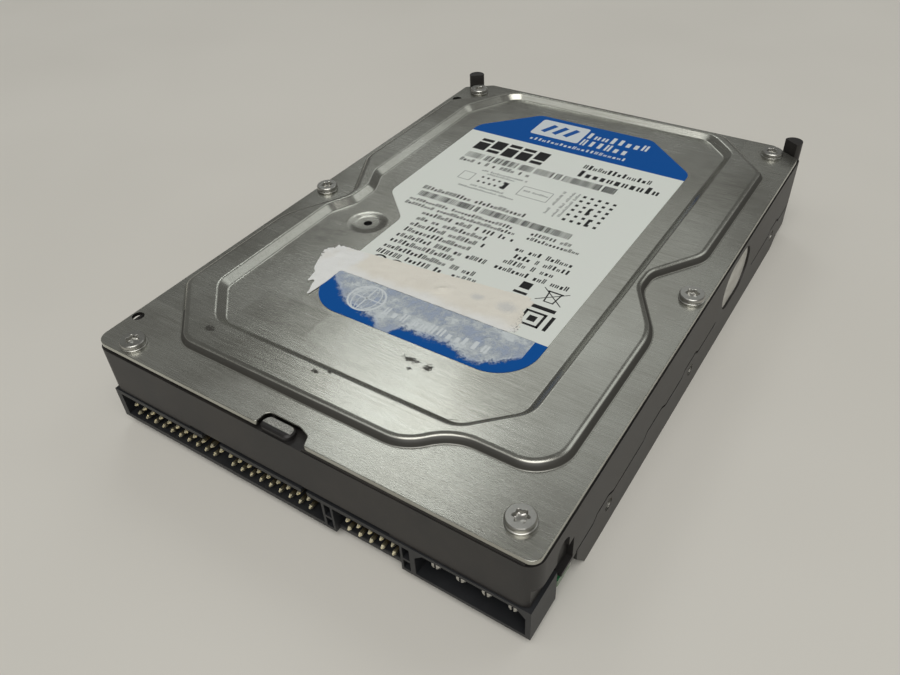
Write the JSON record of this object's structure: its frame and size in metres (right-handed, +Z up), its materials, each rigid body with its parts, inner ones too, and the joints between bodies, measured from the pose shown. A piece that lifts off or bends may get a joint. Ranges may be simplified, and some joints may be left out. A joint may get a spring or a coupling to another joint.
{
  "type": "hard disk drive",
  "caption": "Flat hard disk drive with a black cast base, brushed steel cover with a raised ridge, paper label, pin socket for data and power, and a platter, actuator and motor inside.",
  "frame": {"origin": "centre of the footprint on the bottom plane of the rails", "axes": "+Z up through the cover, +Y from the connector end to the far end, +X towards the power socket's side"},
  "size_m": [0.1016, 0.147, 0.0261],
  "materials": {
    "casting": "black electrocoat, semi-gloss",
    "cover_steel": "brushed lengthwise across the drive",
    "gasket": "matt foam rubber",
    "screw_steel": "plain plated steel",
    "label": "white label with two blue bands",
    "torn_paper": "torn, fibrous",
    "filter_cloth": "white felt",
    "seal_foil": "pale foil-backed paper",
    "socket_plastic": "fine moulded",
    "gold_pin": "gold plated",
    "tin_pin": "tin plated",
    "board": "green solder mask over laminate",
    "insulator": "thin foam sheet",
    "chip": "moulded epoxy",
    "solder": "tin plated leads",
    "ceramic": "sintered",
    "bronze": "turned bronze",
    "lamination": "stacked sheets",
    "copper_wire": "enamelled copper wire",
    "hub_metal": "machined",
    "mirror_disk": "polished",
    "magnet": "nickel plated",
    "plate_steel": "nickel plated pressed steel",
    "arm_metal": "machined",
    "amber_plastic": "moulded",
    "dark_plastic": "moulded",
    "ramp_plastic": "moulded acetal",
    "flex_film": "amber film with copper tracks"
  },
  "bodies": {
    "base": {"base_casting": "casting", "top_cover": "cover_steel", "cover_gasket": "gasket", "cover_screws": "screw_steel", "cover_label": "label", "torn_sticker": "torn_paper", "breather_filter": "filter_cloth", "side_window_seal": "seal_foil", "connector_housing": "socket_plastic", "data_pins": "gold_pin", "jumper_pins": "gold_pin", "power_pins": "tin_pin", "circuit_board": "board", "board_insulator": "insulator", "board_screws": "screw_steel", "controller_chip": "chip", "motor_driver_chip": "chip", "memory_chip": "chip", "chip_leads": "solder", "clock_crystal": "solder", "board_small_parts": "ceramic", "head_connector": "dark_plastic", "motor_contacts": "gold_pin", "bearing_sleeve": "bronze", "bearing_cap": "plate_steel", "stator_core": "lamination", "stator_coils": "copper_wire", "pivot_shaft": "screw_steel", "lower_magnet_plate": "plate_steel", "upper_magnet_plate": "plate_steel", "lower_magnet": "magnet", "upper_magnet": "magnet", "magnet_plate_posts": "screw_steel", "magnet_plate_screws": "screw_steel", "latch_pin": "screw_steel", "crash_stops": "gasket", "load_ramp": "ramp_plastic", "air_filter": "filter_cloth", "flex_bracket": "dark_plastic", "flex_cable": "flex_film"},
    "spindle": {"spindle_hub": "hub_metal", "spindle_shaft": "screw_steel", "rotor_magnet": "magnet", "platter": "mirror_disk", "platter_clamp": "hub_metal", "clamp_screws": "screw_steel"},
    "actuator": {"actuator_arm": "arm_metal", "pivot_bearings": "plate_steel", "voice_coil": "copper_wire", "coil_frame": "amber_plastic", "upper_suspension": "plate_steel", "lower_suspension": "plate_steel", "slider_heads": "chip"},
    "latch": {"park_latch": "dark_plastic"}
  },
  "joints": [
    {"name": "spindle_spin", "type": "hinge", "parent": "base", "child": "spindle", "pos_m": [0, 0.0225, 0.0158], "axis": [0, 0, 1], "continuous": true},
    {"name": "arm_swing", "type": "hinge", "parent": "base", "child": "actuator", "pos_m": [0.018, -0.033, 0.0158], "axis": [0, 0, -1], "range_deg": [0, 33]},
    {"name": "latch_swing", "type": "hinge", "parent": "base", "child": "latch", "pos_m": [0.04231, -0.02716, 0.0159], "axis": [0, 0, 1], "range_deg": [0, 8]}
  ]
}
